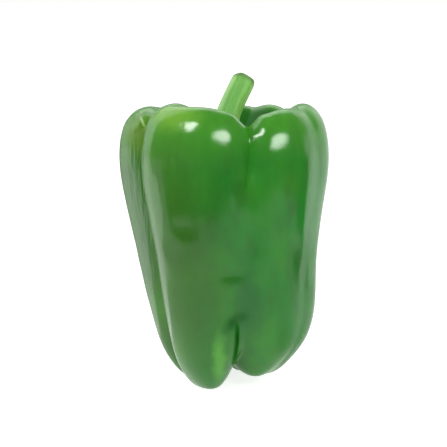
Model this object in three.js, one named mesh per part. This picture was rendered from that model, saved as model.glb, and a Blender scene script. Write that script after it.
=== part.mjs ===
// A green bell pepper as picked: one fruit with four lobes, its calyx and its cut stem.
// Millimetres, +Z up. It stands on the tips of three lobes, and the origin lies under the middle of its box.
// Azimuths are in degrees round the stem, 0 at the front (-Y) and 90 at the right (+X).
import * as THREE from 'three';
import { mergeVertices } from 'three/addons/utils/BufferGeometryUtils.js';

// Fruit
const WIDEST_RADIUS = 42.6;      // at the shoulders: the fruit is about 85 mm across
const CREST_HEIGHT = 113;        // top of the lobes' shoulders
const TWIST = -6;                // how far the lobes turn from top to bottom, in degrees
const SEAT_SINK = 0.4;           // how far the resting tips are pressed flat
const COLUMNS_PER_SECTOR = 11;   // mesh columns from one crease to the next
const ROWS_PER_LEVEL = 3;        // mesh rows from one level to the next

// Calyx
const SKIN_GAP = 0.35;           // clearance between pieces that touch
const CALYX_THICKNESS = 2;       // round the hub; half of it near the edge
const CALYX_TEETH = 6;
const TOOTH_RIB = 0.6;           // height of the rib that runs out to each tooth
const HUB_HEIGHT = 4.5;          // the raised middle that carries the stem
const CALYX_COLUMNS = 48;
const CALYX_ROWS = 9;            // from its middle to its edge, on each face

// Stem
const STEM_RADIUS = 4.8;
const STEM_FOOT_RADIUS = 6.2;    // where it spreads onto the hub
const STEM_RIDGES = 5;
const RIDGE_SHARE = 0.05;        // height of a ridge as a share of the radius
const RIDGE_AZIMUTH = 43;
const CUT_SLANT = 0.2;           // fall of the cut end to the back, per mm across
const STEM_COLUMNS = 30;
const STEM_ROWS = 10;

const { clamp, lerp, smoothstep, euclideanModulo } = THREE.MathUtils;
const rad = THREE.MathUtils.degToRad;

// The mean profile, from the middle of the crater over the crest and down the side to the middle of the
// underside. r is a share of the widest radius and z of the crest height. notch is how much of the rim's
// dip between two lobes a level has, and lift how much of the underside's rise between two feet.
const LEVELS = [
  { r: 0.00, z: 0.835, notch: 0.0, lift: 0.0 }, // middle of the crater
  { r: 0.17, z: 0.835, notch: 0.0, lift: 0.0 },
  { r: 0.35, z: 0.860, notch: 0.0, lift: 0.0 }, // edge of the calyx
  { r: 0.50, z: 0.930, notch: 0.5, lift: 0.0 }, // crater wall
  { r: 0.64, z: 1.005, notch: 1.0, lift: 0.0 },
  { r: 0.80, z: 1.010, notch: 1.1, lift: 0.0 }, // crest
  { r: 0.94, z: 0.955, notch: 0.6, lift: 0.0 }, // shoulder
  { r: 1.00, z: 0.870, notch: 0.1, lift: 0.0 },
  { r: 1.01, z: 0.770, notch: 0.0, lift: 0.0 }, // widest
  { r: 0.96, z: 0.660, notch: 0.0, lift: 0.0 },
  { r: 0.91, z: 0.550, notch: 0.0, lift: 0.0 },
  { r: 0.86, z: 0.440, notch: 0.0, lift: 0.0 }, // waist
  { r: 0.84, z: 0.330, notch: 0.0, lift: 0.0 },
  { r: 0.80, z: 0.220, notch: 0.0, lift: 0.1 },
  { r: 0.72, z: 0.115, notch: 0.0, lift: 0.4 },
  { r: 0.57, z: 0.030, notch: 0.0, lift: 0.8 }, // foot
  { r: 0.40, z: -0.015, notch: 0.0, lift: 1.0 }, // tips of the lobes
  { r: 0.24, z: 0.010, notch: 0.0, lift: 0.7 },
  { r: 0.11, z: 0.060, notch: 0.0, lift: 0.0 },
  { r: 0.00, z: 0.065, notch: 0.0, lift: 0.0 }, // blossom end
];
const LAST = LEVELS.length - 1;
const CREST = 5;                 // places in LEVELS
const WIDEST = 8;
const WAIST = 11;
const FOOT = 15;
const TIP = 16;

// The half lobes. top, waist and foot multiply the radius at those heights. rise lifts the shoulder and
// stand lifts the foot, in mm.
const LOBES = [
  { azimuth: -51, top: 0.97, waist: 0.93, foot: 0.86, rise: 0.0, stand: 0.0 },  // front left lobe
  { azimuth: -12, top: 0.96, waist: 0.97, foot: 1.00, rise: 0.0, stand: 0.0 },
  { azimuth: 42, top: 0.97, waist: 0.98, foot: 1.00, rise: -1.0, stand: 4.5 },  // right lobe
  { azimuth: 88, top: 1.00, waist: 1.00, foot: 1.04, rise: 0.4, stand: 4.0 },
  { azimuth: 133, top: 0.97, waist: 0.97, foot: 1.00, rise: -1.5, stand: 0.0 }, // back right lobe
  { azimuth: 171, top: 0.96, waist: 0.97, foot: 1.00, rise: -2.5, stand: 0.0 },
  { azimuth: 217, top: 0.98, waist: 0.97, foot: 0.95, rise: -1.2, stand: 0.0 }, // left lobe
  { azimuth: 256, top: 1.05, waist: 1.04, foot: 0.96, rise: -2.2, stand: 0.0 },
];

// The creases, deep between two lobes and shallow within one: how far each cuts in at the top, the waist
// and the foot, dips the rim and lifts the underside, in mm, and half its width in degrees.
const CREASES = [
  { azimuth: -30, top: 0.0, waist: 0.0, foot: 0.0, notch: 0.0, lift: 0.0, width: 20 },
  { azimuth: 18, top: 4.0, waist: 1.8, foot: 6.0, notch: 7.5, lift: 8.0, width: 34 },
  { azimuth: 64, top: 1.2, waist: 0.8, foot: 0.5, notch: 1.0, lift: 0.5, width: 20 },
  { azimuth: 112, top: 5.0, waist: 3.0, foot: 5.0, notch: 8.0, lift: 8.0, width: 34 },
  { azimuth: 155, top: 1.0, waist: 0.5, foot: 0.5, notch: 1.5, lift: 0.5, width: 18 },
  { azimuth: 193, top: 4.5, waist: 2.5, foot: 5.0, notch: 8.0, lift: 8.0, width: 34 },
  { azimuth: 236, top: 1.2, waist: 0.8, foot: 0.5, notch: 1.5, lift: 0.5, width: 20 },
  { azimuth: 286, top: 12.0, waist: 11.0, foot: 10.0, notch: 8.0, lift: 8.0, width: 32 },
];

// The fruit's axis leans: how far its middle lies to the right and to the back, by height share.
const LEAN_RIGHT = [-0.6, 2.4, 0.9, -0.6, -0.5, 0.0];
const LEAN_BACK = [-3.0, -3.0, -2.0, -1.0, 0.0, 0.0];

// A uniform cubic B-spline through a list. Past each end it mirrors the list, or turns its sign with mirror -1.
function spline(list, at, mirror = 1) {
  const last = list.length - 1;
  const value = (i) => (i < 0 ? mirror * list[-i] : i > last ? mirror * list[2 * last - i] : list[i]);
  const i = Math.min(Math.floor(at), last - 1);
  const f = at - i;
  return (
    value(i - 1) * (1 - f) ** 3 +
    value(i) * (3 * f ** 3 - 6 * f ** 2 + 4) +
    value(i + 1) * (3 * (1 - f) ** 3 - 6 * (1 - f) ** 2 + 4) +
    value(i + 2) * f ** 3
  ) / 6;
}

const column = Object.fromEntries(
  ['r', 'z', 'notch', 'lift'].map((key) => [key, LEVELS.map((level) => level[key])]),
);

// The turn from one azimuth to another, from -180 to 180.
function turn(from, to) {
  return euclideanModulo(to - from + 180, 360) - 180;
}

// A lobe's value at an azimuth, passing smoothly from each half lobe to the next.
function ofLobes(key, azimuth) {
  const before = (i) => LOBES[(i + LOBES.length - 1) % LOBES.length];
  const span = (i) => euclideanModulo(LOBES[i].azimuth - before(i).azimuth, 360);
  const past = (i) => euclideanModulo(azimuth - before(i).azimuth, 360);
  const next = LOBES.findIndex((lobe, i) => past(i) < span(i));
  return lerp(before(next)[key], LOBES[next][key], smoothstep(past(next) / span(next), 0, 1));
}

// A value at a level, from the values at the top, the waist and the foot.
function byHeight(top, waist, foot, level) {
  return level < WAIST
    ? lerp(top, waist, smoothstep(level, WIDEST - 1, WAIST))
    : lerp(waist, foot, smoothstep(level, WAIST, FOOT));
}

// What the creases are worth at an azimuth: all of it in a crease, falling to nothing on the lobes each
// side. softness rounds the bottom of the crease.
function inCreases(azimuth, softness, worth) {
  return CREASES.reduce((sum, crease) => {
    const away = turn(crease.azimuth, azimuth) / crease.width;
    const share = clamp((1 - Math.hypot(away, softness)) / (1 - softness), 0, 1);
    return sum + worth(crease) * share ** 2;
  }, 0);
}

// A point of the skin. level runs from 0 in the crater to LAST under the fruit.
function skin(level, azimuth) {
  const reach = byHeight(ofLobes('top', azimuth), ofLobes('waist', azimuth), ofLobes('foot', azimuth), level);
  const softness = lerp(0.06, 0.3, smoothstep(level, 5, 9) * (1 - smoothstep(level, 11, 14)));
  const cut = smoothstep(level, CREST - 1, WIDEST - 1) * (1 - smoothstep(level, FOOT, LAST - 1));
  const radius = spline(column.r, level, -1) * WIDEST_RADIUS * reach
    - cut * inCreases(azimuth, softness, (crease) => byHeight(crease.top, crease.waist, crease.foot, level));
  const shoulder = smoothstep(level, 2, CREST) * (1 - smoothstep(level, CREST, WIDEST));
  const standing = smoothstep(level, WAIST + 1, FOOT) * (1 - smoothstep(level, TIP, LAST));
  const height = spline(column.z, level) * CREST_HEIGHT - SEAT_SINK
    + shoulder * ofLobes('rise', azimuth)
    + standing * ofLobes('stand', azimuth)
    - spline(column.notch, level) * inCreases(azimuth, softness, (crease) => crease.notch)
    + spline(column.lift, level) * inCreases(azimuth, softness, (crease) => crease.lift);
  const share = clamp(height / CREST_HEIGHT, 0, 1);
  const turned = rad(azimuth + TWIST * (1 - share));
  const along = share * (LEAN_RIGHT.length - 1);
  return new THREE.Vector3(
    spline(LEAN_RIGHT, along) + radius * Math.sin(turned),
    spline(LEAN_BACK, along) - radius * Math.cos(turned),
    height,
  );
}

// The skin's outward normal. It points straight up in the middle of the crater.
function skinNormal(level, azimuth) {
  if (level === 0) {
    return new THREE.Vector3(0, 0, 1);
  }
  const down = skin(level + 0.02, azimuth).sub(skin(level - 0.02, azimuth));
  const round = skin(level, azimuth + 1).sub(skin(level, azimuth - 1));
  return new THREE.Vector3().crossVectors(down, round).normalize();
}

// The azimuth of a mesh column. Columns crowd towards the creases, where the skin bends most.
function columnAzimuth(share) {
  const place = share * CREASES.length;
  const sector = Math.min(Math.floor(place), CREASES.length - 1);
  const from = CREASES[sector].azimuth;
  const span = euclideanModulo(CREASES[(sector + 1) % CREASES.length].azimuth - from, 360);
  const f = place - sector;
  const crowded = (1 - Math.cos(Math.PI * f)) / 2;
  return from + span * lerp(f, crowded, 0.45);
}

// The same geometry with one vertex for each point.
function closed(geometry) {
  geometry.deleteAttribute('uv');
  geometry.deleteAttribute('normal');
  const merged = mergeVertices(geometry, 1e-3);
  merged.computeVertexNormals();
  return merged;
}

// Places each vertex of a sphere by its share round (0 to 1) and its share from top to bottom (0 to 1).
function mould(sphere, place) {
  const { position, uv } = sphere.attributes;
  for (let i = 0; i < position.count; i += 1) {
    const point = place(euclideanModulo(uv.getX(i), 1), 1 - uv.getY(i));
    position.setXYZ(i, point.x, point.y, point.z);
  }
  return closed(sphere);
}

function fruitGeometry() {
  const columns = CREASES.length * COLUMNS_PER_SECTOR;
  const sphere = new THREE.SphereGeometry(1, columns, LAST * ROWS_PER_LEVEL);
  return mould(sphere, (round, down) => {
    const point = skin(down * LAST, columnAzimuth(round));
    point.z = Math.max(point.z, 0);
    return point;
  });
}

// The calyx: a saucer that follows the crater's floor, with a tooth at the end of each rib. Levels as above.
const HUB_LEVEL = 1.15;          // foot of the hub
const HUB_SHARE = 0.5;           // share of the rows that the hub takes
const EDGE_LEVEL = 1.95;         // edge between two teeth
const TOOTH_LEVEL = 2.40;        // tip of a tooth
const HUB_TOP = skin(0, 0).z + SKIN_GAP + CALYX_THICKNESS + HUB_HEIGHT;

function calyxGeometry() {
  const sphere = new THREE.SphereGeometry(1, CALYX_COLUMNS, 2 * CALYX_ROWS);
  return mould(sphere, (round, down) => {
    const azimuth = 360 * round;
    const out = 1 - Math.abs(2 * down - 1);
    const tooth = ((1 + Math.cos(rad(CALYX_TEETH * azimuth))) / 2) ** 1.2;
    const level = out < HUB_SHARE
      ? HUB_LEVEL * out / HUB_SHARE
      : lerp(HUB_LEVEL, lerp(EDGE_LEVEL, TOOTH_LEVEL, tooth), (out - HUB_SHARE) / (1 - HUB_SHARE));
    const point = skin(level, azimuth);
    const normal = skinNormal(level, azimuth);
    if (down >= 0.5) {
      return point.addScaledVector(normal, SKIN_GAP);
    }
    const rib = TOOTH_RIB * tooth * smoothstep(out, HUB_SHARE, 0.7);
    const thickness = (CALYX_THICKNESS * (1 - out / 2) + rib) * Math.sqrt(1 - out ** 5);
    point.addScaledVector(normal, SKIN_GAP + thickness);
    point.z = lerp(point.z, HUB_TOP, 1 - smoothstep(out, 0.34, HUB_SHARE));
    return point;
  });
}

// The stem's middle line, from the hub to the cut end. It starts upright and leans to the right and back.
const stemLine = new THREE.CubicBezierCurve3(
  new THREE.Vector3(0, 0, HUB_TOP + SKIN_GAP),
  new THREE.Vector3(0, 0, 107),
  new THREE.Vector3(2.6, 2.2, 112),
  new THREE.Vector3(7.6, 7, 121.8),
);

function stemGeometry() {
  const stem = new THREE.CylinderGeometry(1, 1, 1, STEM_COLUMNS, STEM_ROWS);
  const { position } = stem.attributes;
  for (let i = 0; i < position.count; i += 1) {
    const right = position.getX(i);
    const front = position.getZ(i);
    const t = position.getY(i) + 0.5;
    const azimuth = THREE.MathUtils.radToDeg(Math.atan2(right, front));
    const ridge = 1 + RIDGE_SHARE * Math.cos(rad(STEM_RIDGES * (azimuth - RIDGE_AZIMUTH)));
    const radius = ridge * lerp(STEM_FOOT_RADIUS, STEM_RADIUS, smoothstep(t, 0, 0.5));
    const upward = stemLine.getTangent(t);
    const rightward = new THREE.Vector3(0, 1, 0).cross(upward).normalize();
    const backward = new THREE.Vector3().crossVectors(upward, rightward);
    const point = stemLine.getPoint(t)
      .addScaledVector(rightward, right * radius)
      .addScaledVector(backward, -front * radius)
      .addScaledVector(upward, CUT_SLANT * front * radius * smoothstep(t, 0.7, 1));
    position.setXYZ(i, point.x, point.y, point.z);
  }
  return closed(stem);
}

function solid(name, geometry, color, roughness) {
  const mesh = new THREE.Mesh(geometry, new THREE.MeshStandardMaterial({ color, roughness, metalness: 0 }));
  mesh.name = name;
  return mesh;
}

const pepper = new THREE.Group();
pepper.add(
  solid('fruit', fruitGeometry(), 0x35752a, 0.28),
  solid('calyx', calyxGeometry(), 0x4f8a35, 0.6),
  solid('stem', stemGeometry(), 0x6aae55, 0.6),
);

// The origin lies under the middle of the box.
const middle = new THREE.Box3().setFromObject(pepper).getCenter(new THREE.Vector3());
pepper.position.set(-middle.x, -middle.y, 0);

export default pepper;
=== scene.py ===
import math

import bmesh
import bpy
from mathutils import Matrix, Vector, noise
from mathutils.geometry import interpolate_bezier


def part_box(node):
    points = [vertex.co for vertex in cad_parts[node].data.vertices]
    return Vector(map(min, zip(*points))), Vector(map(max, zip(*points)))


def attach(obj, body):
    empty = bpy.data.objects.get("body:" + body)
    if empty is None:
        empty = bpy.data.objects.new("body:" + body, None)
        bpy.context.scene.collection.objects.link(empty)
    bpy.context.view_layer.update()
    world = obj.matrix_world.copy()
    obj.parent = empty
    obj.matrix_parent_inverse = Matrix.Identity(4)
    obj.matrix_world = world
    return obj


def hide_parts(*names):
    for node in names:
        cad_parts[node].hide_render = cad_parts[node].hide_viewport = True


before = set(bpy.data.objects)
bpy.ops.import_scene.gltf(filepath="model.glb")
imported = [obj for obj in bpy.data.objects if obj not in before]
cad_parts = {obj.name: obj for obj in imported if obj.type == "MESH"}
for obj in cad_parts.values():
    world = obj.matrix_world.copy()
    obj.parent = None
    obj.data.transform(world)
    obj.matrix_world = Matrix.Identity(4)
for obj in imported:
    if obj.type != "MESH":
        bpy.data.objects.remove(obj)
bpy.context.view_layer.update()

# Studio
# A white table top that runs to the horizon, in a white surround that is darker on the camera's side. The
# light comes from the upper left and the upper right, and lit cards and walls give the skin its pale rims.

def linear(hex_colour):
    """An sRGB hex colour as linear red, green, blue and alpha."""
    shares = [int(hex_colour[i:i + 2], 16) / 255 for i in (1, 3, 5)]
    return [s / 12.92 if s <= 0.04045 else ((s + 0.055) / 1.055) ** 2.4 for s in shares] + [1]


def add(tree, kind, settings, links):
    """Add a node to a material or world, with its settings, and link what feeds its inputs."""
    node = tree.nodes.new(kind)
    for name, value in settings.items():
        if isinstance(name, int) or name in node.inputs:
            node.inputs[name].default_value = value
        else:
            setattr(node, name, value)
    for name, socket in links.items():
        tree.links.new(socket, node.inputs[name])
    return node


AIM = Vector((0.0003, 0, 0.064))
CAMERA_DISTANCE = 0.56
CAMERA_RISE = math.radians(8.5)
WHITE = (1, 1, 1, 1)

bpy.ops.object.select_all(action="DESELECT")
bpy.ops.object.camera_add(
    location=AIM + CAMERA_DISTANCE * Vector((0, -math.cos(CAMERA_RISE), math.sin(CAMERA_RISE))),
    rotation=(math.radians(90) - CAMERA_RISE, 0, 0),
)
camera = bpy.context.object
camera.data.lens = 110.8
camera.data.clip_start = 0.01
bpy.context.scene.camera = camera
bpy.context.scene.view_settings.view_transform = "Standard"

# Matt white card. It glows a little, most under the fruit, and more to the camera, which sees it white.
TABLE_RADIUS = 8

bpy.ops.mesh.primitive_circle_add(vertices=64, radius=TABLE_RADIUS, fill_type="NGON")
table = bpy.context.object
table.name = "table_top"
card_white = bpy.data.materials.new("matt white card")
card_white.use_nodes = True
tree = card_white.node_tree
shader = tree.nodes["Principled BSDF"]
shader.inputs["Base Color"].default_value = linear("#c8c8c8")
shader.inputs["Roughness"].default_value = 1
shader.inputs["Specular IOR Level"].default_value = 0
shader.inputs["Emission Color"].default_value = WHITE
place = add(tree, "ShaderNodeTexCoord", {}, {}).outputs["Object"]
from_middle = add(tree, "ShaderNodeVectorMath", {"operation": "LENGTH"}, {0: place}).outputs["Value"]
glow = add(
    tree, "ShaderNodeMapRange",
    {"From Min": 0.04, "From Max": 0.2, "To Min": 0.48, "To Max": 0.22}, {"Value": from_middle},
).outputs["Result"]
to_camera = add(tree, "ShaderNodeLightPath", {}, {}).outputs["Is Camera Ray"]
own_light = add(
    tree, "ShaderNodeMapRange", {"To Max": 0.8}, {"Value": to_camera, "To Min": glow},
).outputs["Result"]
tree.links.new(own_light, shader.inputs["Emission Strength"])
table.data.materials.append(card_white)

# The studio floor is dark past the front edge of the white, which only the skin's gloss sees. What lies
# behind a line through the middle is cut off. The edge's corners are metres to the right and to the back,
# and the dark floor spreads out from them to so many times as far.
CUT_TURN = math.radians(20)
DARK_FLOOR_SPREAD = 20
DARK_FLOOR_HEIGHT = 0.001
WHITE_EDGE = (
    (-0.30, 0.10), (-0.21, -0.01), (-0.165, -0.07), (-0.14, -0.135), (-0.07, -0.21), (0.04, -0.25),
    (0.16, -0.27), (0.20, -0.36), (0.27, -0.25), (0.30, -0.12), (0.28, -0.02), (0.225, 0.05),
    (0.215, 0.12), (0.0, 0.2),
)

bpy.ops.object.select_all(action="DESELECT")
bpy.ops.mesh.primitive_circle_add(vertices=len(WHITE_EDGE))
dark_floor = bpy.context.object
dark_floor.name = "dark_floor"
for vertex, (x, y) in zip(dark_floor.data.vertices, WHITE_EDGE):
    vertex.co = (x, y, DARK_FLOOR_HEIGHT)
bpy.ops.object.mode_set(mode="EDIT")
bpy.ops.mesh.select_all(action="SELECT")
bpy.ops.mesh.extrude_region_move()
bpy.ops.transform.resize(value=(DARK_FLOOR_SPREAD, DARK_FLOOR_SPREAD, 1))
bpy.ops.mesh.select_all(action="SELECT")
bpy.ops.mesh.bisect(
    plane_co=(0, 0, 0), plane_no=(-math.sin(CUT_TURN), math.cos(CUT_TURN), 0), clear_outer=True,
)
bpy.ops.object.mode_set(mode="OBJECT")
card_dark = bpy.data.materials.new("matt dark card")
card_dark.use_nodes = True
shader = card_dark.node_tree.nodes["Principled BSDF"]
shader.inputs["Base Color"].default_value = linear("#1e2420")
shader.inputs["Roughness"].default_value = 1
dark_floor.data.materials.append(card_dark)
dark_floor.visible_camera = False
dark_floor.visible_diffuse = False
dark_floor.visible_shadow = False
dark_floor.visible_transmission = False

# Two softboxes light the matt surfaces, and two gleams in their places are what the gloss sees: a narrow
# three-cornered one at the left and a wide one at the right. Each fades from its core out to its rim.
LIGHTS_MIDDLE = Vector((0, 0, 0.1))

for name, azimuth, rise, width, height, roll, corners, brightness, core, gloss_only in (
    ("softbox_upper_left", -46, 42, 0.20, 0.40, 0, 48, 24.0, 0.5, False),
    ("softbox_upper_right", 28, 27, 0.66, 0.46, 0, 48, 7.0, 0.4, False),
    ("gleam_upper_left", -46, 42, 0.32, 0.62, 190, 3, 21.0, 0.25, True),
    ("gleam_upper_right", 32, 26, 1.15, 0.52, -5, 48, 15.5, 0.35, True),
):
    turn, lift = math.radians(azimuth), math.radians(rise)
    towards = Vector((math.sin(turn) * math.cos(lift), -math.cos(turn) * math.cos(lift), math.sin(lift)))
    bpy.ops.mesh.primitive_circle_add(vertices=corners, radius=0.5, fill_type="NGON")
    softbox = bpy.context.object
    softbox.name = name
    softbox.location = LIGHTS_MIDDLE + towards
    softbox.rotation_euler = (
        towards.to_track_quat("Z", "Y").to_matrix() @ Matrix.Rotation(math.radians(roll), 3, "Z")
    ).to_euler()
    softbox.scale = (width, height, 1)
    lit_cloth = bpy.data.materials.new(name + " cloth")
    lit_cloth.use_nodes = True
    tree = lit_cloth.node_tree
    tree.nodes.clear()
    place = add(tree, "ShaderNodeTexCoord", {}, {}).outputs["Object"]
    from_middle = add(tree, "ShaderNodeVectorMath", {"operation": "LENGTH"}, {0: place}).outputs["Value"]
    glow = add(
        tree, "ShaderNodeMapRange",
        {
            "interpolation_type": "SMOOTHSTEP",
            "From Min": 0.5 * core, "From Max": 0.5, "To Min": brightness, "To Max": 0.0,
        },
        {"Value": from_middle},
    ).outputs["Result"]
    light = add(tree, "ShaderNodeEmission", {}, {"Strength": glow}).outputs["Emission"]
    add(tree, "ShaderNodeOutputMaterial", {}, {"Surface": light})
    softbox.data.materials.append(lit_cloth)
    softbox.visible_camera = False
    softbox.visible_diffuse = not gloss_only
    softbox.visible_glossy = gloss_only
    softbox.visible_shadow = False

# Lit white cards lie at each side, which only the gloss sees. The left one is the brighter, but dim behind.
CARD_HEIGHT = 0.002
LEFT_CARD = (
    (-0.05, 0.02), (-0.05, 6), (-6, 6), (-6, 0.6), (-0.75, -0.05), (-0.32, -0.075), (-0.19, -0.03),
    (-0.12, 0.01),
)
RIGHT_CARD = ((0.22, 0.085), (6, 3.2), (6, 6), (0.10, 6))

for name, corners, brightness, behind in (
    ("lit_card_left", LEFT_CARD, 2.75, 0.35),
    ("lit_card_right", RIGHT_CARD, 1.6, 1.1),
):
    bpy.ops.mesh.primitive_circle_add(vertices=len(corners), fill_type="NGON")
    card = bpy.context.object
    card.name = name
    for vertex, (x, y) in zip(card.data.vertices, corners):
        vertex.co = (x, y, CARD_HEIGHT)
    lit_card = bpy.data.materials.new(name + " white")
    lit_card.use_nodes = True
    tree = lit_card.node_tree
    tree.nodes.clear()
    place = add(tree, "ShaderNodeTexCoord", {}, {}).outputs["Object"]
    way = add(tree, "ShaderNodeVectorMath", {"operation": "NORMALIZE"}, {0: place}).outputs["Vector"]
    backward = add(tree, "ShaderNodeSeparateXYZ", {}, {"Vector": way}).outputs["Y"]
    glow = add(
        tree, "ShaderNodeMapRange",
        {"From Min": 0.25, "From Max": 0.85, "To Min": brightness, "To Max": behind}, {"Value": backward},
    ).outputs["Result"]
    light = add(tree, "ShaderNodeEmission", {}, {"Strength": glow}).outputs["Emission"]
    add(tree, "ShaderNodeOutputMaterial", {}, {"Surface": light})
    card.data.materials.append(lit_card)
    card.visible_camera = False
    card.visible_diffuse = False
    card.visible_shadow = False
    card.visible_transmission = False

# The walls that the gloss sees: the left one bright, the right one darker, the back one dim, none in front.
# Higher up, the right is bright only towards the back, and the ceiling at the left only. Overhead is dim.
surround = bpy.data.worlds.new("white surround")
bpy.context.scene.world = surround
surround.use_nodes = True
tree = surround.node_tree
tree.nodes.clear()
direction = add(tree, "ShaderNodeTexCoord", {}, {}).outputs["Generated"]
frontness = add(
    tree, "ShaderNodeVectorMath", {"operation": "DOT_PRODUCT", 1: (0.06, -1, 0)}, {0: direction},
).outputs["Value"]
heading = add(tree, "ShaderNodeSeparateXYZ", {}, {"Vector": direction})
left_wall = add(
    tree, "ShaderNodeMapRange",
    {"From Min": 0.0, "From Max": 0.3, "To Min": 1.6, "To Max": 2.3}, {"Value": heading.outputs["Z"]},
).outputs["Result"]
low_left = add(
    tree, "ShaderNodeMapRange", {"From Min": -0.95, "From Max": -0.5, "To Max": 0.45},
    {"Value": heading.outputs["X"], "To Min": left_wall},
).outputs["Result"]
low_walls = add(
    tree, "ShaderNodeMapRange",
    {"interpolation_type": "SMOOTHSTEP", "From Min": 0.0, "From Max": 0.6, "To Max": 1.1},
    {"Value": heading.outputs["X"], "To Min": low_left},
).outputs["Result"]
upper_right = add(
    tree, "ShaderNodeMapRange",
    {"interpolation_type": "SMOOTHSTEP", "From Min": 0.4, "From Max": 0.75, "To Min": 0.15, "To Max": 1.5},
    {"Value": heading.outputs["Y"]},
).outputs["Result"]
right_walls = add(
    tree, "ShaderNodeMapRange", {"interpolation_type": "SMOOTHSTEP", "From Min": 0.12, "From Max": 0.32},
    {"Value": heading.outputs["Z"], "To Min": low_walls, "To Max": upper_right},
).outputs["Result"]
both_walls = add(
    tree, "ShaderNodeMapRange", {"interpolation_type": "SMOOTHSTEP", "From Min": 0.3, "From Max": 0.5},
    {"Value": heading.outputs["X"], "To Min": low_walls, "To Max": right_walls},
).outputs["Result"]
ceiling = add(
    tree, "ShaderNodeMapRange",
    {"interpolation_type": "SMOOTHSTEP", "From Min": 0.15, "From Max": 0.4, "To Min": 2.1},
    {"Value": heading.outputs["X"], "To Max": upper_right},
).outputs["Result"]
high_walls = add(
    tree, "ShaderNodeMapRange", {"interpolation_type": "SMOOTHSTEP", "From Min": 0.43, "From Max": 0.6},
    {"Value": heading.outputs["Z"], "To Min": both_walls, "To Max": ceiling},
).outputs["Result"]
back_walls = add(
    tree, "ShaderNodeMapRange",
    {"interpolation_type": "SMOOTHSTEP", "From Min": 0.8, "From Max": 0.95, "To Max": 0.2},
    {"Value": heading.outputs["Z"], "To Min": high_walls},
).outputs["Result"]
walls = add(
    tree, "ShaderNodeMapRange",
    {"interpolation_type": "SMOOTHSTEP", "From Min": -0.24, "From Max": -0.06, "To Max": 0.14},
    {"Value": frontness, "To Min": back_walls},
).outputs["Result"]
gloss_light = add(tree, "ShaderNodeBackground", {"Color": WHITE}, {"Strength": walls})

# The soft light that reaches the matt surfaces comes from overhead and from both sides, more from the left.
overhead = add(
    tree, "ShaderNodeMapRange",
    {"interpolation_type": "SMOOTHSTEP", "From Min": 0.1, "From Max": 0.8, "To Min": 0.08, "To Max": 0.75},
    {"Value": heading.outputs["Z"]},
).outputs["Result"]
from_left = add(
    tree, "ShaderNodeMapRange",
    {"interpolation_type": "SMOOTHSTEP", "From Min": -0.35, "From Max": -0.9, "To Min": 0.0, "To Max": 1.8},
    {"Value": heading.outputs["X"]},
).outputs["Result"]
from_right = add(
    tree, "ShaderNodeMapRange",
    {"interpolation_type": "SMOOTHSTEP", "From Min": 0.35, "From Max": 0.9, "To Min": 0.0, "To Max": 1.3},
    {"Value": heading.outputs["X"]},
).outputs["Result"]
sides = add(tree, "ShaderNodeMath", {"operation": "ADD"}, {0: from_left, 1: from_right}).outputs["Value"]
soft = add(tree, "ShaderNodeMath", {"operation": "ADD"}, {0: overhead, 1: sides}).outputs["Value"]
soft_light = add(tree, "ShaderNodeBackground", {"Color": WHITE}, {"Strength": soft})
plain = add(tree, "ShaderNodeBackground", {"Color": WHITE, "Strength": 1.0}, {})
path = add(tree, "ShaderNodeLightPath", {}, {})
lights = add(
    tree, "ShaderNodeMixShader", {},
    {
        0: path.outputs["Is Glossy Ray"],
        1: soft_light.outputs["Background"],
        2: gloss_light.outputs["Background"],
    },
)
both = add(
    tree, "ShaderNodeMixShader", {},
    {0: path.outputs["Is Camera Ray"], 1: lights.outputs["Shader"], 2: plain.outputs["Background"]},
)
add(tree, "ShaderNodeOutputWorld", {}, {"Surface": both.outputs["Shader"]})

# Fruit
# The pepper's own body: firm flesh under a thin waxy skin, grown as four lobes that meet in deep creases.
# It is one piece. Its skin swells and dips a little along its length, as it filled out unevenly.

def copy_of(node, name):
    """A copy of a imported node's mesh as a new object, merged and with its triangles joined into quads."""
    bpy.ops.object.select_all(action="DESELECT")
    piece = bpy.data.objects.new(name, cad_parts[node].data.copy())
    bpy.context.collection.objects.link(piece)
    bpy.context.view_layer.objects.active = piece
    piece.select_set(True)
    piece.data.materials.clear()
    bpy.ops.object.mode_set(mode="EDIT")
    bpy.ops.mesh.select_all(action="SELECT")
    bpy.ops.mesh.remove_doubles(threshold=0.000002)
    bpy.ops.mesh.tris_convert_to_quads(face_threshold=math.radians(60), shape_threshold=math.radians(90))
    bpy.ops.object.mode_set(mode="OBJECT")
    return piece


def subdivide(piece, levels):
    """Round the piece's facets off with an applied Subdivision Surface."""
    rounding = piece.modifiers.new("rounding", "SUBSURF")
    rounding.levels = levels
    rounding.render_levels = levels
    bpy.context.view_layer.objects.active = piece
    bpy.ops.object.modifier_apply(modifier=rounding.name)
    bpy.ops.object.shade_smooth()


def between(value, low, high):
    """0 below low, 1 above high, and a smooth step from one to the other."""
    share = min(max((value - low) / (high - low), 0), 1)
    return share * share * (3 - 2 * share)


def hill(*offsets):
    """1 where every offset is 0, falling smoothly to almost 0 where one of them reaches 2."""
    return math.exp(-sum(offset ** 2 for offset in offsets))


def along_line(points, z):
    """The value at height z of a line of (height, value) points, given from the top down."""
    for (z0, v0), (z1, v1) in zip(points, points[1:]):
        if z > z1:
            return v0 + (v1 - v0) * min(max((z0 - z) / (z0 - z1), 0), 1)
    return points[-1][1]


MM = 0.001
HUB_MIDDLE = (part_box("calyx")[0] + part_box("calyx")[1]) / 2

# Lengths from here to the fruit's material are in millimetres.
# How high the skin's swells, waves and ribs stand. The left lobe's ribs are higher.
SWELL_HEIGHT = 0.30
WAVE_HEIGHT = 0.14
RIB_HEIGHT = 0.02
LEFT_LOBE_RIB_HEIGHT = 0.14

# The front's marks start this far in front of the middle, and are whole from the second distance on.
FRONT_STARTS = 14
FRONT_WHOLE = 22

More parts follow.
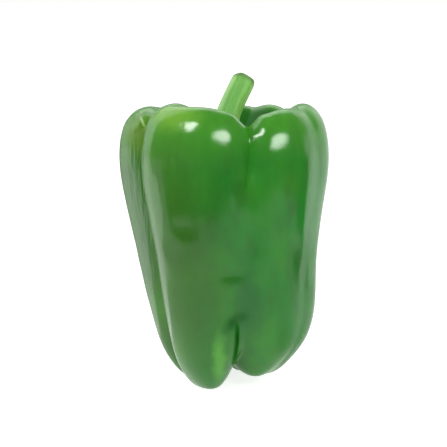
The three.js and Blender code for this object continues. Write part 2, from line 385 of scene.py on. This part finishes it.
# The groove between the two front lobes, by height: its place to the right of the middle, and its depth. It
# is deep at the shoulders, in a wider valley, nearly flat halfway, and a sharp crease at the foot.
GROOVE_PLACE = (
    (106, 9.6), (101, 10.0), (94, 9.5), (86, 8.7), (76, 7.7), (63, 7.1), (47, 6.4), (31, 5.6), (22, 5.6),
    (18, 5.3), (13, 4.8),
)
SHOULDER_GROOVE = (
    (113, 0.7), (108, 1.1), (104, 2.7), (98, 3.0), (92, 2.4), (88, 1.7), (84, 1.0), (80, 0.6), (74, 0.35),
    (66, 0.3), (44, 0.2), (20, 0.2), (10, 0.0),
)
SHOULDER_GROOVE_REACH = 6.0
SHOULDER_GROOVE_STEEPNESS = 6
VALLEY_DEPTH = 0.9
VALLEY_REACH = 7.5
FOOT_CREASE = ((31, 0.0), (28, 0.6), (25, 1.1), (14, 1.3), (10, 0.4), (8, 0.0))
FOOT_CREASE_REACH = 0.7

# The heights between which the groove is too flat to need finer faces, and how far from its line they reach.
FLAT_FROM = 38
FLAT_TO = 82
FINE_FACES_REACH = 2.2

# Shallow dents in the front, where the fruit pressed on others: middle, radius and depth.
# The last three are swellings, on the two front lobes' shoulders.
DENTS = (
    ((3.2, -36.0, 49.6), (5.0, 2.8), 0.42),
    ((-18.8, -30.7, 57.0), (4.5, 4.5), 0.28),
    ((-15.2, -34.9, 67.0), (6, 4.5), 0.2),
    ((28.6, -25.4, 57.0), (3.4, 7.5), 0.3),
    ((22.0, -31.0, 60.0), (5, 3), 0.22),
    ((13.0, -35.0, 62.0), (6, 14), 0.6),
    ((0.5, -38.0, 100.5), (7, 7), 0.15),
    ((20.5, -32.5, 96.5), (17, 6), -0.35),
    ((24.0, -31.0, 104.5), (7, 5), -0.3),
    ((-5.0, -37.0, 101.0), (5, 8), -0.3),
)

# The crests beside the groove stand a little higher: place, half width, the heights between which that
# starts, and by how much.
FULLER_CRESTS = ((14.0, 3.0, (103, 108), 1.2), (3.6, 3.8, (105, 109), 0.9))

# Painted shade and missing reflection, in patches over the foot crease: place, half width and half height,
# slope to the right, and darkness.
PAINTED_SHADE_PATCHES = (((3.6, 30.0), (2.7, 3.0), 0.5, 0.9), ((8.0, 32.4), (2.4, 2.0), 0, 0.6))
PAINTED_SHADE_PATCH_DARKEST = 0.9

# How much shade is painted on the other marks, and how dull they are. A dullness of 0.25 takes the gloss
# away.
FOOT_CREASE_PAINTED_SHADE = 0.85
GROOVE_LINE_PAINTED_SHADE = 0.3
HOLLOW_PAINTED_SHADE = 0.8
LOW_RIGHT_PAINTED_SHADE = 0.25
PAINTED_SHADE_PATCH_DULLNESS = 0.2
HOLLOW_DULLNESS = 0.27
LOW_RIGHT_DULLNESS = 0.15
NO_GLOSS_DULLNESS = 0.25


def skin_wave(x, y, z):
    """How far the uneven skin stands out at a place."""
    swell = SWELL_HEIGHT * noise.noise(Vector((x / 20, y / 20, z / 45)))
    wave = WAVE_HEIGHT * noise.noise(Vector((x / 8, y / 8, z / 24 + 7)))
    rib = RIB_HEIGHT + LEFT_LOBE_RIB_HEIGHT * between(-x, 26, 34)
    rib *= noise.noise(Vector((x / 2.2, y / 2.2, z / 14 + 3)))
    return swell + wave + rib


def groove_depth(off_groove, z):
    """How deep the shoulders' groove and its valley are, off_groove to the right of the groove's line."""
    steep = SHOULDER_GROOVE_STEEPNESS
    slope = steep - steep * math.hypot(off_groove, 0.2) / SHOULDER_GROOVE_REACH
    depth = along_line(SHOULDER_GROOVE, z) * (math.log(1 + math.exp(slope)) / steep)
    at_shoulder = between(z, 84, 94) * (1 - between(z, 108, 114))
    depth += VALLEY_DEPTH * at_shoulder * hill(off_groove / VALLEY_REACH)
    ledge = 0.27 * between(off_groove, 2.4, 5.4) - 0.1 * between(off_groove, 0.7, 2.1)
    ledge *= hill(max(off_groove - 5.4, 0) / 6)
    return depth + ledge * between(z, 96, 101) * (1 - between(z, 106, 110))


def painted_patch_shade_at(x, z):
    """How much shade is painted in the patches over the foot crease at a place."""
    return sum(
        darkness * hill((x - right) / wide, (z - up - slope * (x - right)) / tall)
        for (right, up), (wide, tall), slope, darkness in PAINTED_SHADE_PATCHES
    )


def dent_at(x, y, z):
    """How deep the dents are together at a place, less than 0 on a swelling."""
    return sum(
        depth * hill(math.hypot(x - middle[0], y - middle[1]) / wide, (z - middle[2]) / tall)
        for middle, (wide, tall), depth in DENTS
    )


def hollow_shade(from_axis, y, z):
    """How much shade is painted on the hollow's wall at a place. Its painted shade reaches higher at the
    back.
    """
    back = between(y, -5, 10)
    dark = HOLLOW_PAINTED_SHADE * between(z, 84, 88) * (1 - between(z, 102 + 5 * back, 108 + 6 * back))
    return dark * (1 - between(from_axis, 19 + 5 * back, 27 + 4 * back))


fruit = copy_of("fruit", "pepper_fruit")
subdivide(fruit, 2)

# Finer faces where the groove is sharp, so that its line stays thin.
bpy.ops.object.mode_set(mode="EDIT")
bpy.ops.mesh.select_mode(type="FACE")
bpy.ops.mesh.select_all(action="DESELECT")
shape = bmesh.from_edit_mesh(fruit.data)
for face in shape.faces:
    x, y, z = face.calc_center_median() * 1000
    if y < -FRONT_STARTS and (z < FLAT_FROM or z > FLAT_TO):
        face.select = abs(x - along_line(GROOVE_PLACE, z)) < FINE_FACES_REACH
bmesh.update_edit_mesh(fruit.data)
bpy.ops.mesh.subdivide(number_cuts=2)
bpy.ops.object.mode_set(mode="OBJECT")

# Each vertex is moved to its place on the uneven skin, and keeps how much shade is painted on the skin there
# and how dull it is.
normals = [vertex.normal.copy() for vertex in fruit.data.vertices]
shades = []
dulls = []
for vertex, outward in zip(fruit.data.vertices, normals):
    x, y, z = vertex.co * 1000
    from_axis = math.hypot(x - HUB_MIDDLE.x * 1000, y - HUB_MIDDLE.y * 1000)
    in_hollow = between(z, 85, 90) * (1 - between(from_axis, 15, 24))
    height = between(z, 0.5, 12) * (1 - in_hollow) * skin_wave(x, y, z)
    shade = 0
    dull = 0
    if y < -FRONT_STARTS:
        front = between(-y, FRONT_STARTS, FRONT_WHOLE)
        off_groove = x - along_line(GROOVE_PLACE, z)
        crease = along_line(FOOT_CREASE, z) * hill(off_groove / FOOT_CREASE_REACH)
        vertex.co.y += MM * front * (groove_depth(off_groove, z) + crease)
        height -= dent_at(x, y, z)
        # Painted shade along the groove's line and in the foot crease, where little light comes, with less
        # gloss there.
        in_line = between(z, 80, 86) * (1 - hill((z - 100.5) / 1.6))
        line = GROOVE_LINE_PAINTED_SHADE * in_line * hill(off_groove / 0.6)
        # Painted shade in the patches over the foot crease, which also lose some gloss.
        painted_patch_shade = painted_patch_shade_at(x, z)
        shade = max(min(crease / 1.4, FOOT_CREASE_PAINTED_SHADE), line, front * min(painted_patch_shade, PAINTED_SHADE_PATCH_DARKEST))
        dull = max(crease, in_line * hill((off_groove - 0.3) / 1.2), PAINTED_SHADE_PATCH_DULLNESS * front * painted_patch_shade)
    vertex.co = vertex.co + outward * MM * height
    fuller = sum(
        most * between(z, low, high) * hill((x - right) / wide)
        for right, wide, (low, high), most in FULLER_CRESTS
    )
    vertex.co.z += MM * between(-y, 2, 8) * fuller
    # Painted shade down in the hollow, where little light comes.
    dark = hollow_shade(from_axis, y, z)
    # Painted shade, with less gloss, low on the right near the foot.
    low_right = between(x, 19, 25) * (1 - between(z, 18, 32))
    shades.append(max(shade, dark, LOW_RIGHT_PAINTED_SHADE * low_right))
    dulls.append(max(dull, HOLLOW_DULLNESS * dark, LOW_RIGHT_DULLNESS * low_right))
fruit.data.attributes.new("shade", "FLOAT", "POINT").data.foreach_set("value", shades)
fruit.data.attributes.new("dull", "FLOAT", "POINT").data.foreach_set("value", dulls)
fruit.data.update()

# Waxy pepper skin over green flesh. The wax makes it glossy but not mirror-like, and the flesh just
# under it glows a little. Its green runs from olive at the left to a clear green at the right.
skin = bpy.data.materials.new("waxy green pepper skin")
skin.use_nodes = True
tree = skin.node_tree
shader = tree.nodes["Principled BSDF"]
place = add(tree, "ShaderNodeTexCoord", {}, {}).outputs["Object"]
spot_places = add(tree, "ShaderNodeSeparateXYZ", {}, {"Vector": place})
sideways = add(
    tree, "ShaderNodeMapRange", {"From Min": -0.024, "From Max": 0.002}, {"Value": spot_places.outputs["X"]},
).outputs["Result"]
colour = add(
    tree, "ShaderNodeMix",
    {"data_type": "RGBA", 6: linear("#386c22"), 7: linear("#1f7420")}, {0: sideways},
).outputs[2]

# Darker mottles about 9 mm across, longer than they are wide.
stretched = add(tree, "ShaderNodeMapping", {"Scale": (1, 1, 0.5)}, {"Vector": place}).outputs["Vector"]
mottles = add(
    tree, "ShaderNodeTexNoise", {"Scale": 1 / 0.009, "Detail": 3.0, "Roughness": 0.55}, {"Vector": stretched},
).outputs["Fac"]
mottle_share = add(
    tree, "ShaderNodeMapRange",
    {"From Min": 0.48, "From Max": 0.7, "To Min": 0.0, "To Max": 0.45}, {"Value": mottles},
).outputs["Result"]
colour = add(
    tree, "ShaderNodeMix", {"data_type": "RGBA", 7: linear("#2b541b")}, {0: mottle_share, 6: colour},
).outputs[2]

# Yellow-green where the sun reached it: the shoulders, and patches about 25 mm across.
patches = add(
    tree, "ShaderNodeTexNoise", {"Scale": 1 / 0.025, "Detail": 2.0, "Roughness": 0.5}, {"Vector": place},
).outputs["Fac"]
high = add(
    tree, "ShaderNodeMapRange",
    {"interpolation_type": "SMOOTHSTEP", "From Min": 0.085, "From Max": 0.112, "To Min": 0.0, "To Max": 0.75},
    {"Value": spot_places.outputs["Z"]},
).outputs["Result"]
patch_share = add(
    tree, "ShaderNodeMapRange",
    {"From Min": 0.45, "From Max": 0.68, "To Min": 0.0, "To Max": 0.35}, {"Value": patches},
).outputs["Result"]
sunned = add(tree, "ShaderNodeMath", {"operation": "MAXIMUM"}, {0: high, 1: patch_share}).outputs["Value"]
colour = add(
    tree, "ShaderNodeMix", {"data_type": "RGBA", 7: linear("#458c24")}, {0: sunned, 6: colour},
).outputs[2]

# Faint lengthwise streaks, 3 mm apart, as the flesh's strands show through.
along = add(tree, "ShaderNodeMapping", {"Scale": (1, 1, 0.1)}, {"Vector": place}).outputs["Vector"]
streaks = add(
    tree, "ShaderNodeTexNoise", {"Scale": 1 / 0.003, "Detail": 3.0, "Roughness": 0.6}, {"Vector": along},
).outputs["Fac"]
streak_share = add(
    tree, "ShaderNodeMapRange",
    {"From Min": 0.4, "From Max": 0.7, "To Min": 0.0, "To Max": 0.22}, {"Value": streaks},
).outputs["Result"]
colour = add(
    tree, "ShaderNodeMix", {"data_type": "RGBA", 7: linear("#265c20")}, {0: streak_share, 6: colour},
).outputs[2]

# Blotches, the left lobe made darker all over, a yellow streak and the brown scar that the blossom left
# underneath: middle, reach each way, colour and strength. Noise moves their edges by up to 2 mm, so that they
# are uneven.
wander = add(
    tree, "ShaderNodeTexNoise", {"Scale": 1 / 0.006, "Detail": 2.0}, {"Vector": place},
).outputs["Color"]
shifted = add(
    tree, "ShaderNodeVectorMath",
    {"operation": "MULTIPLY_ADD", 1: (0.004, 0.004, 0.004), 2: (-0.002, -0.002, -0.002)}, {0: wander},
).outputs["Vector"]
broken = add(
    tree, "ShaderNodeVectorMath", {"operation": "ADD"}, {0: place, 1: shifted},
).outputs["Vector"]
for middle, reach, tone, strength in (
    ((0.0032, -0.036, 0.0475), (0.004, 0.006, 0.003), "#28611c", 0.6),
    ((-0.0188, -0.031, 0.0547), (0.004, 0.006, 0.004), "#30601c", 0.5),
    ((-0.0152, -0.035, 0.0648), (0.005, 0.006, 0.004), "#30601c", 0.45),
    ((0.0284, -0.026, 0.0530), (0.0042, 0.007, 0.010), "#20601c", 0.65),
    ((-0.013, -0.034, 0.045), (0.015, 0.030, 0.034), "#2c5818", 0.65),
    ((-0.036, 0.0, 0.055), (0.009, 0.030, 0.060), "#24521c", 0.4),
    ((-0.0014, -0.032, 0.0130), (0.0030, 0.010, 0.013), "#54a034", 0.75),
    ((-0.033, -0.004, 0.101), (0.008, 0.014, 0.009), "#4f7a14", 0.9),
    ((0.001, -0.036, 0.078), (0.008, 0.010, 0.016), "#1c5c14", 0.35),
    ((-0.0165, -0.034, 0.074), (0.008, 0.010, 0.012), "#2c5c14", 0.35),
    ((0.0092, -0.035, 0.036), (0.0065, 0.020, 0.021), "#135420", 0.65),
    ((-0.019, -0.030, 0.1105), (0.011, 0.020, 0.006), "#78a838", 0.5),
    ((0.0, 0.0, 0.006), (0.0025, 0.0025, 0.020), "#8a7a48", 0.85),
):
    off = add(
        tree, "ShaderNodeVectorMath", {"operation": "SUBTRACT", 1: middle}, {0: broken},
    ).outputs["Vector"]
    scaled = add(tree, "ShaderNodeVectorMath", {"operation": "DIVIDE", 1: reach}, {0: off}).outputs["Vector"]
    away = add(tree, "ShaderNodeVectorMath", {"operation": "LENGTH"}, {0: scaled}).outputs["Value"]
    share = add(
        tree, "ShaderNodeMapRange",
        {
            "interpolation_type": "SMOOTHSTEP",
            "From Min": 0.3, "From Max": 1.4, "To Min": strength, "To Max": 0.0,
        },
        {"Value": away},
    ).outputs["Result"]
    colour = add(
        tree, "ShaderNodeMix", {"data_type": "RGBA", 7: linear(tone)}, {0: share, 6: colour},
    ).outputs[2]

# A painted highlight: a pale streak, 5 mm long, slants down the left lobe's shoulder, along a small ridge
# there.
PAINTED_HIGHLIGHT_MIDDLE = (-0.0321, -0.008, 0.1058)
PAINTED_HIGHLIGHT_REACH = (0.0006, 0.02, 0.0026)
PAINTED_HIGHLIGHT_SLANT = math.radians(28)

off = add(
    tree, "ShaderNodeVectorMath", {"operation": "SUBTRACT", 1: PAINTED_HIGHLIGHT_MIDDLE}, {0: place},
).outputs["Vector"]
turned = add(
    tree, "ShaderNodeVectorRotate", {"rotation_type": "Y_AXIS", "Angle": PAINTED_HIGHLIGHT_SLANT}, {"Vector": off},
).outputs["Vector"]
scaled = add(
    tree, "ShaderNodeVectorMath", {"operation": "DIVIDE", 1: PAINTED_HIGHLIGHT_REACH}, {0: turned},
).outputs["Vector"]
away = add(tree, "ShaderNodeVectorMath", {"operation": "LENGTH"}, {0: scaled}).outputs["Value"]
painted_highlight_share = add(
    tree, "ShaderNodeMapRange",
    {"interpolation_type": "SMOOTHSTEP", "From Min": 0.3, "From Max": 1.4, "To Min": 0.5, "To Max": 0.0},
    {"Value": away},
).outputs["Result"]
colour = add(
    tree, "ShaderNodeMix", {"data_type": "RGBA", 7: linear("#a4c884")}, {0: painted_highlight_share, 6: colour},
).outputs[2]

# Painted shade, with less gloss, in the groove's line and crease, in the patches over the crease, down in the
# hollow and low on the right. Where the skin turns away, the wax has a faint pale bloom.
shade = add(tree, "ShaderNodeAttribute", {"attribute_name": "shade"}, {}).outputs["Fac"]
colour = add(
    tree, "ShaderNodeMix", {"data_type": "RGBA", 7: linear("#145018")}, {0: shade, 6: colour},
).outputs[2]
tree.links.new(colour, shader.inputs["Base Color"])
dull = add(tree, "ShaderNodeAttribute", {"attribute_name": "dull"}, {}).outputs["Fac"]
gloss = add(
    tree, "ShaderNodeMapRange",
    {"From Min": 0.0, "From Max": NO_GLOSS_DULLNESS, "To Min": 0.5, "To Max": 0.0}, {"Value": dull},
).outputs["Result"]
tree.links.new(gloss, shader.inputs["Specular IOR Level"])
shader.inputs["Sheen Weight"].default_value = 0.3
shader.inputs["Sheen Roughness"].default_value = 0.3
shader.inputs["Sheen Tint"].default_value = linear("#a4dc98")

# The wax lies unevenly, and fine dimples 1.5 mm apart break up the highlights' edges.
wax = add(
    tree, "ShaderNodeMapRange",
    {"From Min": 0.3, "From Max": 0.7, "To Min": 0.11, "To Max": 0.16}, {"Value": patches},
).outputs["Result"]
tree.links.new(wax, shader.inputs["Roughness"])
dimples = add(
    tree, "ShaderNodeTexNoise", {"Scale": 1 / 0.0015, "Detail": 1.0}, {"Vector": place},
).outputs["Fac"]
bump = add(tree, "ShaderNodeBump", {"Strength": 0.12, "Distance": 0.0002}, {"Height": dimples})

# On the left lobe, below its shoulder, the strands also stand up a little and break up its sheen lengthwise.
below_shoulder = add(
    tree, "ShaderNodeMapRange", {"From Min": 0.104, "From Max": 0.092, "To Min": 0.0, "To Max": 1.0},
    {"Value": spot_places.outputs["Z"]},
).outputs["Result"]
ribbed = add(
    tree, "ShaderNodeMapRange", {"From Min": -0.025, "From Max": -0.033, "To Min": 0.0},
    {"Value": spot_places.outputs["X"], "To Max": below_shoulder},
).outputs["Result"]
bump = add(
    tree, "ShaderNodeBump", {"Distance": 0.0005},
    {"Height": streaks, "Strength": ribbed, "Normal": bump.outputs["Normal"]},
)
tree.links.new(bump.outputs["Normal"], shader.inputs["Normal"])
shader.inputs["IOR"].default_value = 1.45
shader.inputs["Subsurface Weight"].default_value = 0.08
shader.inputs["Subsurface Radius"].default_value = (0.5, 1.0, 0.25)
shader.inputs["Subsurface Scale"].default_value = 0.002
fruit.data.materials.append(skin)
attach(fruit, "root")
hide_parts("fruit")

# Calyx
# The leafy green saucer that the flower grew from, now flat on the floor of the hollow. It is thicker
# and drier than a leaf, with a rib out to each tooth and fine veins between them.

# Heights are in millimetres, and the rest in metres.
VEIN_HEIGHT = 0.12
PUCKER_HEIGHT = 0.15
PUCKER_SIZE = 0.004

calyx = copy_of("calyx", "pepper_calyx")
subdivide(calyx, 2)
normals = [vertex.normal.copy() for vertex in calyx.data.vertices]
for vertex, outward in zip(calyx.data.vertices, normals):
    x, y, z = vertex.co - HUB_MIDDLE
    turn = math.atan2(y, x)
    reach = math.hypot(x, y)
    vein = VEIN_HEIGHT * noise.noise(Vector((9 * math.cos(turn), 9 * math.sin(turn), reach / 0.012)))
    pucker = PUCKER_HEIGHT * noise.noise(Vector((x / PUCKER_SIZE, y / PUCKER_SIZE, z / PUCKER_SIZE)))
    if outward.z > 0.1:
        vertex.co = vertex.co + outward * MM * between(reach, 0.001, 0.006) * (vein + pucker)
calyx.data.update()

# Green calyx tissue: matt, mottled pale and dark, and browned where its edge has dried.
tissue = bpy.data.materials.new("dry green calyx")
tissue.use_nodes = True
tree = tissue.node_tree
shader = tree.nodes["Principled BSDF"]
place = add(tree, "ShaderNodeTexCoord", {}, {}).outputs["Object"]
centred = add(
    tree, "ShaderNodeMapping", {"Location": (-HUB_MIDDLE.x, -HUB_MIDDLE.y, 0)}, {"Vector": place},
).outputs["Vector"]
flat = add(
    tree, "ShaderNodeVectorMath", {"operation": "MULTIPLY", 1: (1, 1, 0)}, {0: centred},
).outputs["Vector"]
out = add(tree, "ShaderNodeVectorMath", {"operation": "LENGTH"}, {0: flat}).outputs["Value"]
mottle = add(
    tree, "ShaderNodeTexNoise", {"Scale": 1 / 0.003, "Detail": 4.0}, {"Vector": place},
).outputs["Fac"]
colour = add(
    tree, "ShaderNodeMix",
    {"data_type": "RGBA", 6: linear("#3f7a2c"), 7: linear("#76a552")}, {0: mottle},
).outputs[2]
dried = add(
    tree, "ShaderNodeMapRange",
    {"From Min": 0.0125, "From Max": 0.0165, "To Min": 0.0, "To Max": 0.55}, {"Value": out},
).outputs["Result"]
colour = add(
    tree, "ShaderNodeMix", {"data_type": "RGBA", 7: linear("#8a8a4a")}, {0: dried, 6: colour},
).outputs[2]
tree.links.new(colour, shader.inputs["Base Color"])
grain = add(
    tree, "ShaderNodeTexNoise", {"Scale": 1 / 0.0006, "Detail": 3.0}, {"Vector": place},
).outputs["Fac"]
bump = add(tree, "ShaderNodeBump", {"Strength": 0.4, "Distance": 0.0002}, {"Height": grain})
tree.links.new(bump.outputs["Normal"], shader.inputs["Normal"])
shader.inputs["Roughness"].default_value = 0.55
calyx.data.materials.append(tissue)
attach(calyx, "root")
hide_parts("calyx")

# Stem
# The fruit's own stalk, cut with a knife: fibrous green, five-ridged, spread at its foot where it joins
# the calyx, with a pale pith that has sunk a little as the cut end dried.

stem = copy_of("stem", "pepper_stem")
FOOT_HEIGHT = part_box("stem")[0].z
FOOT_SLACK = 0.0001
FOOT_INTO_CALYX = 0.0006
base = [v.co for v in stem.data.vertices if v.co.z < FOOT_HEIGHT + FOOT_SLACK]
FOOT_MIDDLE = sum(base, Vector()) / len(base)

# The stalk's middle line, straight up at its foot and leaning to the right and back at its cut end.
ROUTE_POINTS = 60
ROUTE = interpolate_bezier(
    FOOT_MIDDLE,
    Vector((FOOT_MIDDLE.x, FOOT_MIDDLE.y, 0.107)),
    FOOT_MIDDLE + Vector((0.0026, 0.0022, 0.112 - FOOT_MIDDLE.z)),
    FOOT_MIDDLE + Vector((0.0076, 0.0070, 0.1218 - FOOT_MIDDLE.z)),
    ROUTE_POINTS,
)
upward = (ROUTE[-1] - ROUTE[-2]).normalized()

# The cut end: its edge is rounded off, and the pith is set in behind a rim, and sunk.
CUT_FACING = 0.8
CUT_HEIGHT = 0.115
EDGE_ROUNDING = 0.00035
RIM_WIDTH = 0.0005
PITH_WALL = 0.0004
PITH_DEPTH = 0.00035
PITH_DISH = 0.0012
PITH_DISH_DEPTH = 0.0002

bpy.ops.object.mode_set(mode="EDIT")
bpy.ops.mesh.select_mode(type="FACE")
bpy.ops.mesh.select_all(action="DESELECT")
shape = bmesh.from_edit_mesh(stem.data)
shape.normal_update()
for face in shape.faces:
    face.select = face.normal.dot(upward) > CUT_FACING and face.calc_center_median().z > CUT_HEIGHT
bmesh.update_edit_mesh(stem.data)
bpy.ops.mesh.dissolve_faces()
bpy.ops.mesh.bevel(offset=EDGE_ROUNDING, segments=2, affect="EDGES")
bpy.ops.mesh.select_all(action="DESELECT")
shape = bmesh.from_edit_mesh(stem.data)
shape.normal_update()
for face in shape.faces:
    face.select = face.normal.dot(upward) > CUT_FACING and len(face.verts) > 8
bmesh.update_edit_mesh(stem.data)
bpy.ops.mesh.inset(thickness=RIM_WIDTH)
bpy.ops.mesh.inset(thickness=PITH_WALL, depth=-PITH_DEPTH)
shape = bmesh.from_edit_mesh(stem.data)
for face in shape.faces:
    if face.select:
        face.material_index = 1
bmesh.update_edit_mesh(stem.data)
bpy.ops.mesh.inset(thickness=PITH_DISH)
bpy.ops.mesh.inset(thickness=PITH_DISH, depth=-PITH_DISH_DEPTH)
bpy.ops.object.mode_set(mode="OBJECT")

# Its foot is set down into the calyx, which the solids keep clear of.
for vertex in stem.data.vertices:
    if vertex.co.z < FOOT_HEIGHT + FOOT_SLACK:
        vertex.co.z -= FOOT_INTO_CALYX
subdivide(stem, 2)

# Strands run the stalk's whole length. Each vertex keeps its place on the unrolled stalk for the colours, as
# if the stalk were 4 mm in radius and 20 mm long, and how much it belongs to the cut end. The strands'
# heights are in millimetres.
UNROLLED_RADIUS = 0.004
UNROLLED_LENGTH = 0.02
STRAND_HEIGHT = 0.10
FINE_STRAND_HEIGHT = 0.07

strand_places = []
cut_shares = []
normals = [vertex.normal.copy() for vertex in stem.data.vertices]
for vertex, outward in zip(stem.data.vertices, normals):
    nearest = min(range(len(ROUTE)), key=lambda step: (ROUTE[step] - vertex.co).length_squared)
    away = vertex.co - ROUTE[nearest]
    turn = math.atan2(away.y, away.x)
    length = nearest / (len(ROUTE) - 1)
    around = Vector((math.cos(turn), math.sin(turn), 0))
    on_side = 1 - between(outward.dot(upward), 0.3, 0.7) * between(length, 0.9, 0.98)
    strand = STRAND_HEIGHT * noise.noise(around * 3.0 + Vector((0, 0, 1.5 * length)))
    strand += FINE_STRAND_HEIGHT * noise.noise(around * 8.0 + Vector((0, 0, 2.5 * length)))
    vertex.co = vertex.co + outward * MM * on_side * strand
    strand_places.extend((UNROLLED_RADIUS * around.x, UNROLLED_RADIUS * around.y, UNROLLED_LENGTH * length))
    cut_shares.append((1 - on_side) + on_side * between(length, 0.955, 1.0))
stem.data.attributes.new("strand_place", "FLOAT_VECTOR", "POINT").data.foreach_set("vector", strand_places)
stem.data.attributes.new("cut_share", "FLOAT", "POINT").data.foreach_set("value", cut_shares)
stem.data.update()

# Ridged green stalk: matt, with paler and darker strands under 1 mm apart, dark where the cut has dried.
green_stalk = bpy.data.materials.new("ridged green stalk")
green_stalk.use_nodes = True
tree = green_stalk.node_tree
shader = tree.nodes["Principled BSDF"]
place = add(tree, "ShaderNodeTexCoord", {}, {}).outputs["Object"]
mottle = add(
    tree, "ShaderNodeTexNoise", {"Scale": 1 / 0.003, "Detail": 4.0}, {"Vector": place},
).outputs["Fac"]
colour = add(
    tree, "ShaderNodeMix",
    {"data_type": "RGBA", 6: linear("#439128"), 7: linear("#68a742")}, {0: mottle},
).outputs[2]
unrolled = add(tree, "ShaderNodeAttribute", {"attribute_name": "strand_place"}, {}).outputs["Vector"]
long_way = add(tree, "ShaderNodeMapping", {"Scale": (1, 1, 0.08)}, {"Vector": unrolled}).outputs["Vector"]
strands = add(
    tree, "ShaderNodeTexNoise", {"Scale": 1 / 0.0009, "Detail": 3.0, "Roughness": 0.6}, {"Vector": long_way},
).outputs["Fac"]
pale = add(
    tree, "ShaderNodeMapRange",
    {"From Min": 0.45, "From Max": 0.75, "To Min": 0.0, "To Max": 0.4}, {"Value": strands},
).outputs["Result"]
colour = add(
    tree, "ShaderNodeMix", {"data_type": "RGBA", 7: linear("#8fc468")}, {0: pale, 6: colour},
).outputs[2]

# Painted light: its left facets are painted paler and greyer, and its right ones a brighter green, as the
# light falls on them.
across = add(tree, "ShaderNodeSeparateXYZ", {}, {"Vector": unrolled}).outputs["X"]
for start, end, strength, tone in (
    (-0.0020, -0.0034, 0.65, "#9cc482"),
    (0.0012, 0.0034, 0.5, "#9cd868"),
):
    painted_light_side = add(
        tree, "ShaderNodeMapRange",
        {"From Min": start, "From Max": end, "To Min": 0.0, "To Max": strength}, {"Value": across},
    ).outputs["Result"]
    colour = add(
        tree, "ShaderNodeMix", {"data_type": "RGBA", 7: linear(tone)}, {0: painted_light_side, 6: colour},
    ).outputs[2]
cut_share = add(tree, "ShaderNodeAttribute", {"attribute_name": "cut_share"}, {}).outputs["Fac"]
dried = add(
    tree, "ShaderNodeMapRange", {"To Min": 0.0, "To Max": 0.75}, {"Value": cut_share},
).outputs["Result"]
colour = add(
    tree, "ShaderNodeMix", {"data_type": "RGBA", 7: linear("#4c6a34")}, {0: dried, 6: colour},
).outputs[2]
tree.links.new(colour, shader.inputs["Base Color"])
bump = add(tree, "ShaderNodeBump", {"Strength": 0.5, "Distance": 0.0002}, {"Height": strands})
tree.links.new(bump.outputs["Normal"], shader.inputs["Normal"])
shader.inputs["Roughness"].default_value = 0.5
shader.inputs["Specular IOR Level"].default_value = 0.3
stem.data.materials.append(green_stalk)

# Pith: spongy, pale and quite matt, with pores 0.8 mm apart.
pith = bpy.data.materials.new("pale dry pith")
pith.use_nodes = True
tree = pith.node_tree
shader = tree.nodes["Principled BSDF"]
place = add(tree, "ShaderNodeTexCoord", {}, {}).outputs["Object"]
pores = add(
    tree, "ShaderNodeTexNoise", {"Scale": 1 / 0.0008, "Detail": 3.0}, {"Vector": place},
).outputs["Fac"]
colour = add(
    tree, "ShaderNodeMix",
    {"data_type": "RGBA", 6: linear("#7f9a58"), 7: linear("#c2cf9c")}, {0: pores},
).outputs[2]
tree.links.new(colour, shader.inputs["Base Color"])
bump = add(tree, "ShaderNodeBump", {"Strength": 0.6, "Distance": 0.0002}, {"Height": pores})
tree.links.new(bump.outputs["Normal"], shader.inputs["Normal"])
shader.inputs["Roughness"].default_value = 0.9
shader.inputs["Specular IOR Level"].default_value = 0.15
stem.data.materials.append(pith)
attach(stem, "root")
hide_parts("stem")
